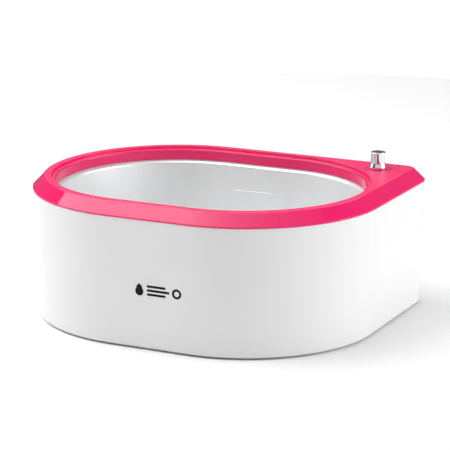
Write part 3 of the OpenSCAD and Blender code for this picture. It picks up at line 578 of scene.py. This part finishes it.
def make_knob():
    """Turned knob, hollow from below, with a flared foot."""
    bore_z = KNOB_UNDER + KNOB_BORE_H
    bm = bmesh.new()
    lathe(bm, rounded([
        (0, bore_z, 0), (KNOB_BORE_R, bore_z, 0.3 * MM), (KNOB_BORE_R, KNOB_UNDER, 0.2 * MM),
        (KNOB_FOOT_R, KNOB_UNDER, 0.5 * MM), (KNOB_FOOT_R, KNOB_UNDER + FLARE_LOW, 1.2 * MM),
        (KNOB_R, KNOB_UNDER + FLARE_HIGH, 2 * MM), (KNOB_R, KNOB_TOP, 0.6 * MM), (0, KNOB_TOP, 0),
    ]), KNOB_AXIS, 128)
    finish_mesh("knob_turning", bm, CHROME, "dial", ["control_knob"])


def pointer_bar(bm, radius, low, high, proud):
    """An upright inlay in the knob's side, rounded across and standing a little proud."""
    steps = 8
    heading = Vector((cos(POINTER_ANGLE), sin(POINTER_ANGLE), 0))
    sideways = Vector((-heading.y, heading.x, 0))
    axis = Vector((KNOB_AXIS.x, KNOB_AXIS.y, 0))
    rows = []
    for z in (low, high):
        row = []
        for k in range(steps + 1):
            a = pi * k / steps
            across = POINTER_W / 2 * cos(a)
            out = radius - POINTER_SINK + proud * sin(a)
            row.append(bm.verts.new(axis + heading * out + sideways * across + Vector((0, 0, z))))
        rows.append(row)
    lower, upper = rows
    for k in range(steps):
        bm.faces.new((lower[k], lower[k + 1], upper[k + 1], upper[k]))
    bm.faces.new((lower[steps], lower[0], upper[0], upper[steps]))
    bm.faces.new(lower)
    bm.faces.new(list(reversed(upper)))


def make_pointer():
    """The pointer: a bar up the knob's side, and a short one on the rim of its foot."""
    bm = bmesh.new()
    pointer_bar(bm, KNOB_R, KNOB_UNDER + FLARE_HIGH, POINTER_TOP, 0.4 * MM)
    pointer_bar(bm, KNOB_FOOT_R, KNOB_UNDER + 0.6 * MM, KNOB_UNDER + 1.8 * MM, 0.25 * MM)
    finish_mesh("pointer_inlay", bm, POINTER, "dial", ["knob_pointer"], sharp=60)


make_shell()
make_bezel()
make_tank()
make_knob()
make_pointer()


# ---------------------------------------------------------------- floor, lights, camera

def area_light(name, place, look_at, size, power, color=(1, 1, 1)):
    data = bpy.data.lights.new(name, "AREA")
    data.shape = "RECTANGLE"
    data.size, data.size_y = size
    data.energy = power
    data.color = color
    lamp = bpy.data.objects.new(name, data)
    bpy.context.scene.collection.objects.link(lamp)
    lamp.location = place
    lamp.rotation_euler = (Vector(look_at) - Vector(place)).to_track_quat("-Z", "Y").to_euler()
    return lamp


def make_floor():
    """A round sheet of pale studio paper."""
    bm = bmesh.new()
    bmesh.ops.create_circle(bm, cap_ends=True, segments=128, radius=FLOOR_RADIUS)
    shader = Shader("floor_paper", (0.94, 0.94, 0.94), Roughness=0.9)
    shader.vary_color(shader.noise(3, 2), 0.01)
    floor = as_object("floor", bm)
    floor.data.materials.append(shader.material)


def side_panel(name, azimuth, elevation, power, size=(1.4, 1.2)):
    """A large soft panel round the object. Azimuth runs from +X towards the rear."""
    a, e = radians(azimuth), radians(elevation)
    way = Vector((cos(a) * cos(e), sin(a) * cos(e), sin(e)))
    area_light(name, way * PANEL_DISTANCE + PANEL_AIM, PANEL_AIM, size, power)


def top_panel():
    """Overhead softbox whose brightness falls off towards the right."""
    size = (4.7, 2.8)
    x, y, height = -0.75, -0.6, 2.1
    full_power = 4.0
    lamp = area_light("top_panel", (x, y, height), (x, y, 0), size, size[0] * size[1] * pi)
    lamp.data.use_nodes = True
    tree = lamp.data.node_tree
    place = tree.nodes.new("ShaderNodeNewGeometry")
    split = tree.nodes.new("ShaderNodeSeparateXYZ")
    fall = tree.nodes.new("ShaderNodeValToRGB")
    power = tree.nodes.new("ShaderNodeMath")
    power.operation = "MULTIPLY"
    power.inputs[1].default_value = full_power
    tree.links.new(place.outputs["Parametric"], split.inputs["Vector"])
    tree.links.new(split.outputs["X"], fall.inputs["Fac"])
    tree.links.new(fall.outputs["Color"], power.inputs[0])
    tree.links.new(power.outputs["Value"], tree.nodes["Emission"].inputs["Strength"])
    stops = ((0, 0.75), (0.43, 1), (0.65, 0.45), (0.8, 0.2), (0.99, 0.02))
    ramp = fall.color_ramp.elements
    ramp.remove(ramp[1])
    ramp[0].position = stops[0][0]
    ramp[0].color = (stops[0][1],) * 3 + (1,)
    for where, level in stops[1:]:
        ramp.new(where).color = (level, level, level, 1)


def studio_world():
    """Pale background for the camera, a faint glow for reflections, and next to nothing for the rest."""
    ambient = 0.02
    backdrop = 1.05
    glow = 0.13
    world = bpy.data.worlds.new("studio")
    world.use_nodes = True
    bpy.context.scene.world = world
    tree = world.node_tree
    background = tree.nodes["Background"]
    background.inputs["Color"].default_value = (1, 1, 1, 1)
    path = tree.nodes.new("ShaderNodeLightPath")
    tone = tree.nodes.new("ShaderNodeMapRange")
    tone.inputs["To Min"].default_value = ambient
    tone.inputs["To Max"].default_value = backdrop
    shine = tree.nodes.new("ShaderNodeMath")
    shine.operation = "MULTIPLY_ADD"
    shine.inputs[1].default_value = glow
    tree.links.new(path.outputs["Is Camera Ray"], tone.inputs["Value"])
    tree.links.new(path.outputs["Is Glossy Ray"], shine.inputs[0])
    tree.links.new(tone.outputs["Result"], shine.inputs[2])
    tree.links.new(shine.outputs["Value"], background.inputs["Strength"])
    bpy.context.scene.view_settings.view_transform = "Standard"


def set_camera(azimuth, elevation, distance, lens, aim_right, aim_up):
    """A low three-quarter view from the front right, aimed a little beside the middle of the body."""
    a, e = radians(azimuth), radians(elevation)
    back = Vector((sin(a) * cos(e), -cos(a) * cos(e), sin(e)))
    right = Vector((cos(a), sin(a), 0))
    aim = right * aim_right + Vector((0, 0, aim_up))
    data = bpy.data.cameras.new("camera")
    data.lens = lens
    data.sensor_width = 36
    data.clip_start = 0.05
    camera = bpy.data.objects.new("camera", data)
    bpy.context.scene.collection.objects.link(camera)
    camera.location = aim + back * distance
    camera.rotation_euler = back.to_track_quat("Z", "Y").to_euler()
    bpy.context.scene.camera = camera


make_floor()
top_panel()
side_panel("right_panel", azimuth=4, elevation=14, power=16)
side_panel("right_rear_panel", azimuth=24, elevation=14, power=25)
side_panel("left_panel", azimuth=-172, elevation=14, power=10)
side_panel("front_card", azimuth=-64, elevation=30, power=5.5, size=(3.8, 0.9))
area_light("far_floor_light", (-1.0, 2.1, 1.8), look_at=(-1.0, 2.1, 0), size=(2.8, 1.6), power=18)
studio_world()
set_camera(azimuth=26.12, elevation=14.38, distance=2.1124, lens=174.5, aim_right=0.01429, aim_up=0.08855)
